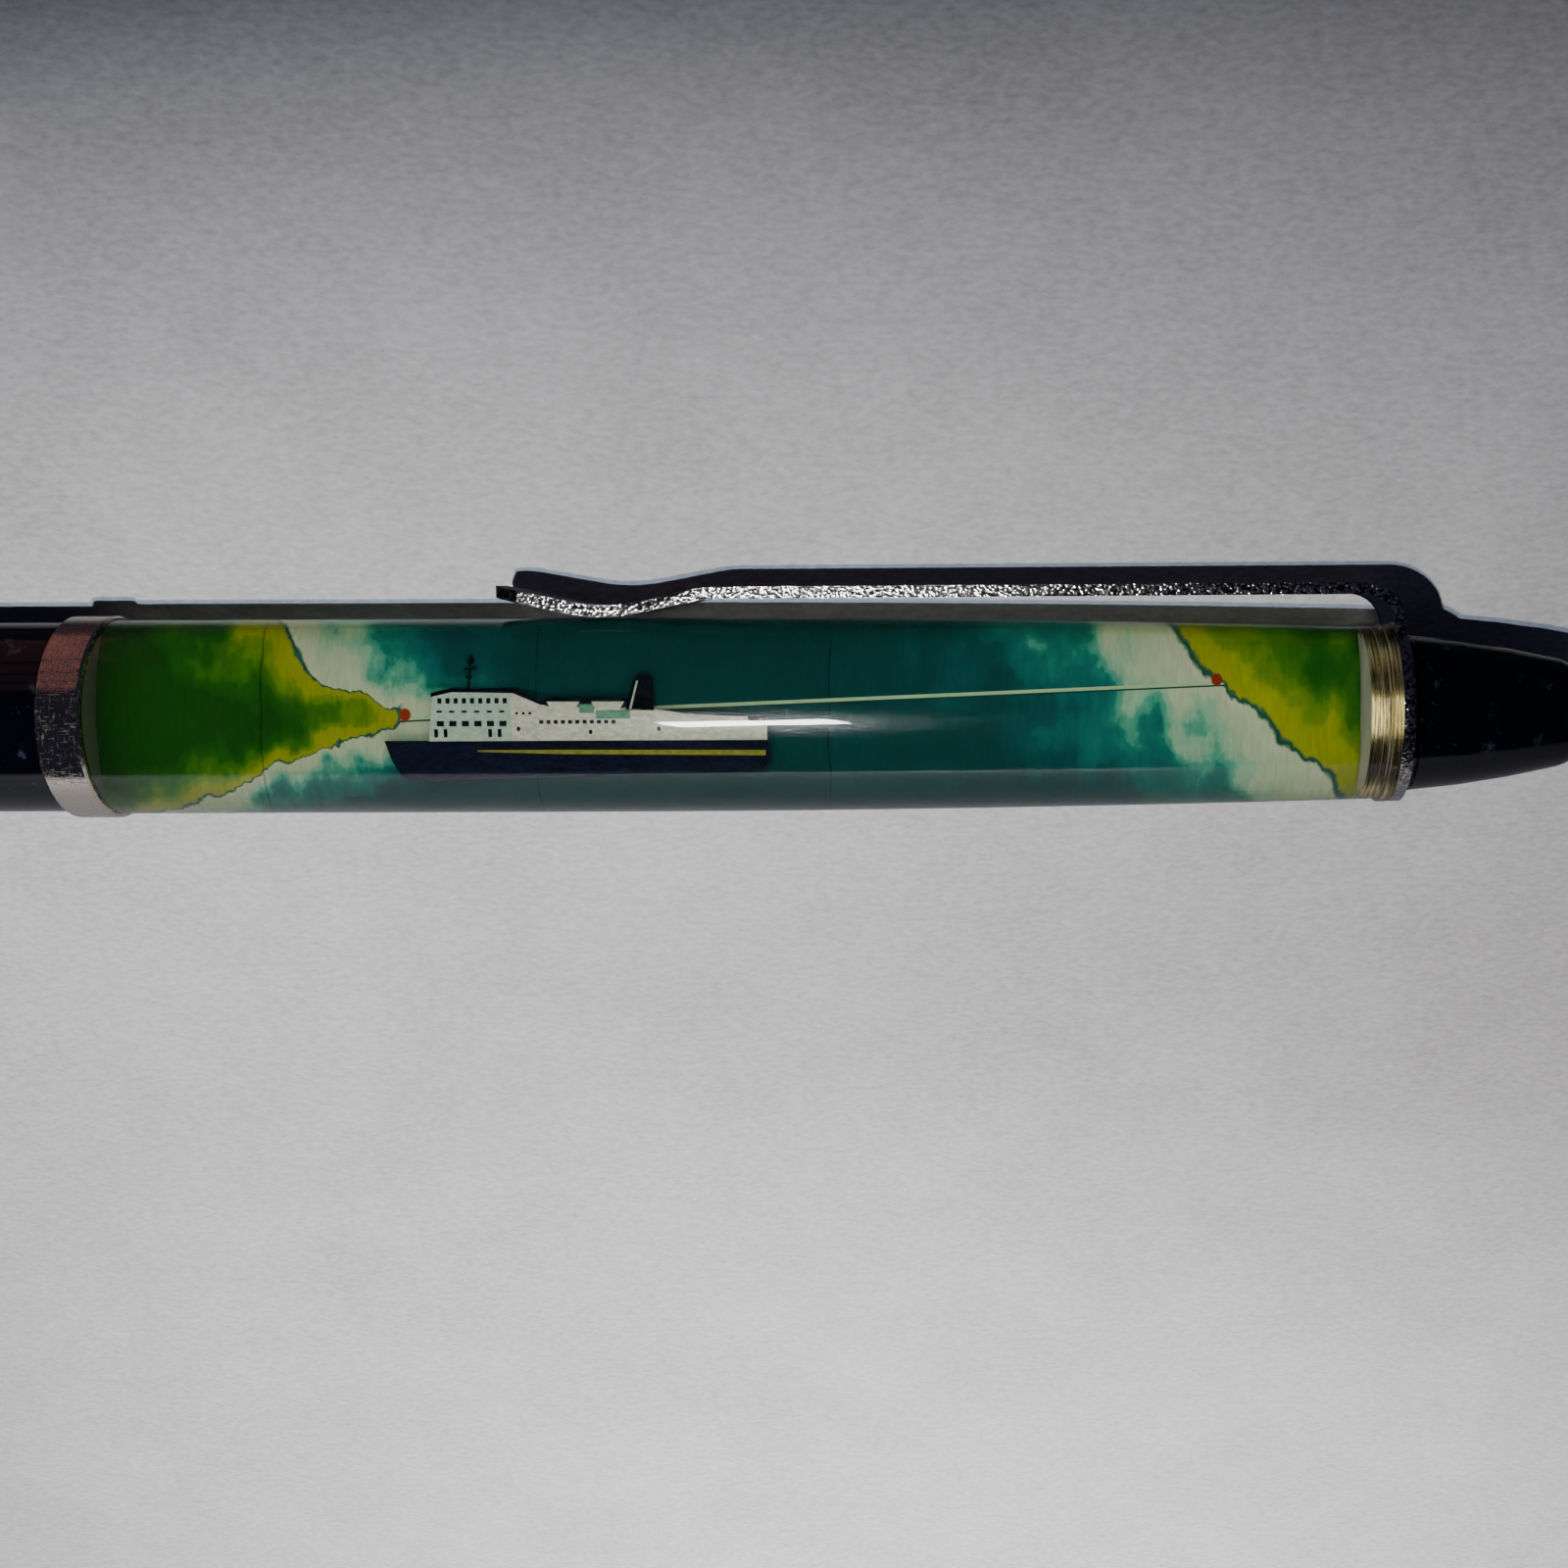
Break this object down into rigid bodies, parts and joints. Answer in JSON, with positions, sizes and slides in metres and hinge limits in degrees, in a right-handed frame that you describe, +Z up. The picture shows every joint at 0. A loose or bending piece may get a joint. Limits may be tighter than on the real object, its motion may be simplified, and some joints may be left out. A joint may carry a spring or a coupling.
{
  "type": "floating scene pen",
  "caption": "Twist-action ballpoint pen with a liquid-filled clear barrel in which a small ferry slides past a printed coast.",
  "frame": {"origin": "on the pen's axis, at the middle of the barrel's straight grip", "axes": "+X along the pen from the writing point to the cap, +Z up from the table that the pen lies on; the clip points to +Y and down"},
  "size_m": [0.1445, 0.0124, 0.0108],
  "materials": {
    "clear_tube": "clear moulded acrylic, gloss",
    "printed_film": "printed film: green land, sand edge, teal sea",
    "clear_film": "clear film",
    "ferry_film": "printed film: navy hull, yellow line, pale upperworks",
    "stopper_plastic": "moulded, satin",
    "turned_brass": "turned, bright",
    "chrome": "plated, fine scratches",
    "navy_plastic": "moulded, high gloss",
    "slide_plastic": "moulded, satin",
    "refill_plastic": "extruded tube with ink, satin",
    "ball_steel": "ground"
  },
  "bodies": {
    "float_section": {"float_tube": "clear_tube", "picture_film": "printed_film", "front_film": "clear_film", "tube_stopper": "stopper_plastic", "end_plug": "turned_brass", "centre_band": "chrome", "pocket_clip": "chrome", "top_cap": "navy_plastic", "cam_sleeve": "slide_plastic"},
    "float": {"float_strip": "clear_film", "ferry_cutout": "ferry_film"},
    "barrel": {"lower_barrel": "navy_plastic", "nose_cone": "chrome"},
    "refill": {"refill_carrier": "slide_plastic", "refill_tube": "refill_plastic", "refill_point": "turned_brass", "refill_ball": "ball_steel"}
  },
  "joints": [
    {"name": "barrel_twist", "type": "hinge", "parent": "float_section", "child": "barrel", "pos_m": [0, 0, 0], "axis": [1, 0, 0], "range_deg": [0, 150]},
    {"name": "refill_slide", "type": "slide", "parent": "barrel", "child": "refill", "axis": [-1, 0, 0], "range_m": [0, 0.0055]},
    {"name": "float_slide", "type": "slide", "parent": "float_section", "child": "float", "axis": [1, 0, 0], "range_m": [-0.0088, 0.0279]}
  ],
  "couplings": [
    {"joint": "refill_slide", "follows": "barrel_twist", "m_per_rad": 0.0021008}
  ]
}
